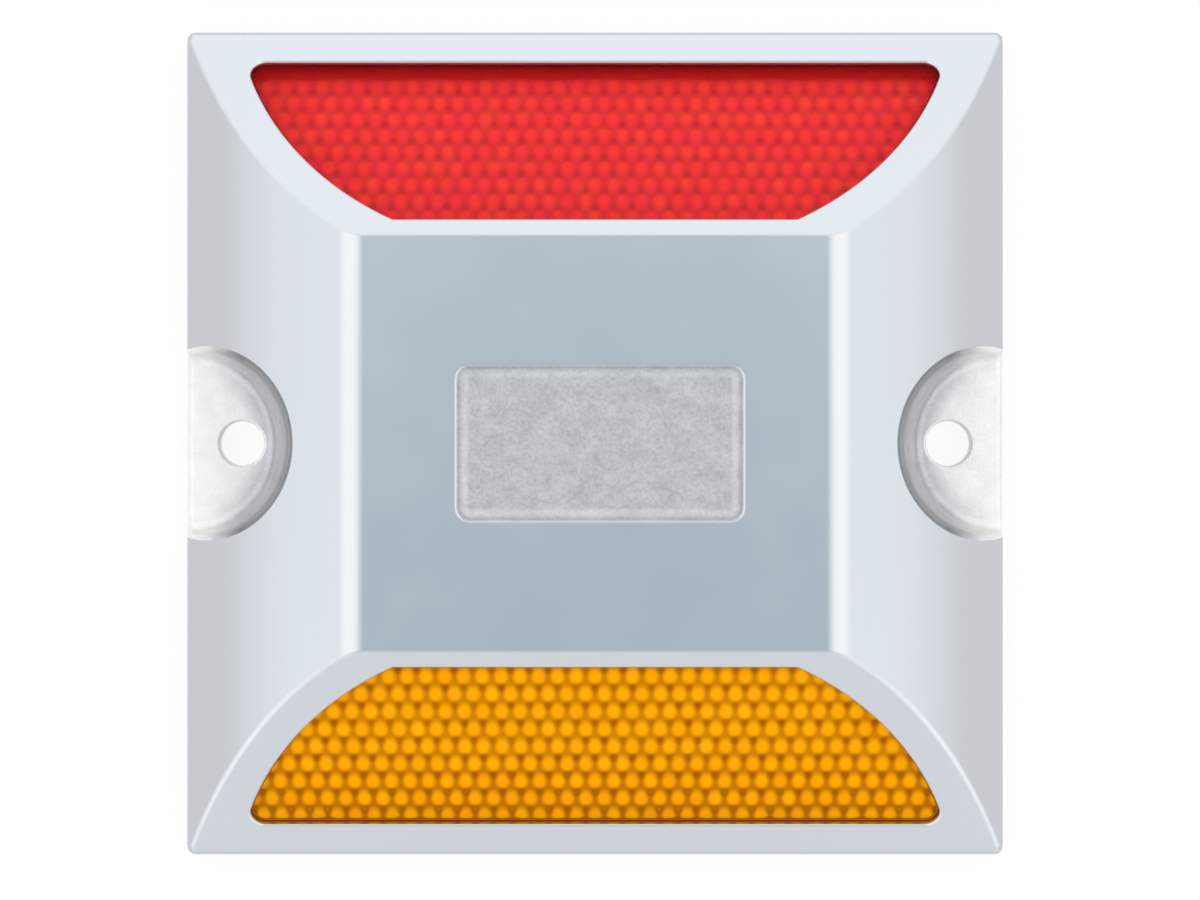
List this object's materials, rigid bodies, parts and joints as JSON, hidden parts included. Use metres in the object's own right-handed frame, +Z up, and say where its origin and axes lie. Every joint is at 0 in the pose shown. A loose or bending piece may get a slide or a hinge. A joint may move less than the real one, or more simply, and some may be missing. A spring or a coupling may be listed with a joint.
{
  "type": "road stud",
  "caption": "Square cast aluminium road stud with a red and an amber cube-corner reflector on its two sloping faces and half-round nail pockets at its sides.",
  "frame": {"origin": "under the middle of the stud, on the base plane that sits on the road", "axes": "+Z up from the road; +Y towards the red reflector and -Y towards the amber one; X through the two nail holes"},
  "size_m": [0.0996, 0.1004, 0.02],
  "materials": {
    "cast_aluminium": "polished on top, rough as cast in the pockets and the centre recess",
    "red_acrylic": "clear red, smooth front over moulded pins",
    "amber_acrylic": "clear amber, smooth front over moulded pins",
    "back_plate_plastic": "matte",
    "adhesive": "cured glue"
  },
  "bodies": {
    "root": {"cast_body": "cast_aluminium", "red_lens": "red_acrylic", "amber_lens": "amber_acrylic", "red_back_plate": "back_plate_plastic", "amber_back_plate": "back_plate_plastic", "red_adhesive_bed": "adhesive", "amber_adhesive_bed": "adhesive"}
  },
  "joints": []
}
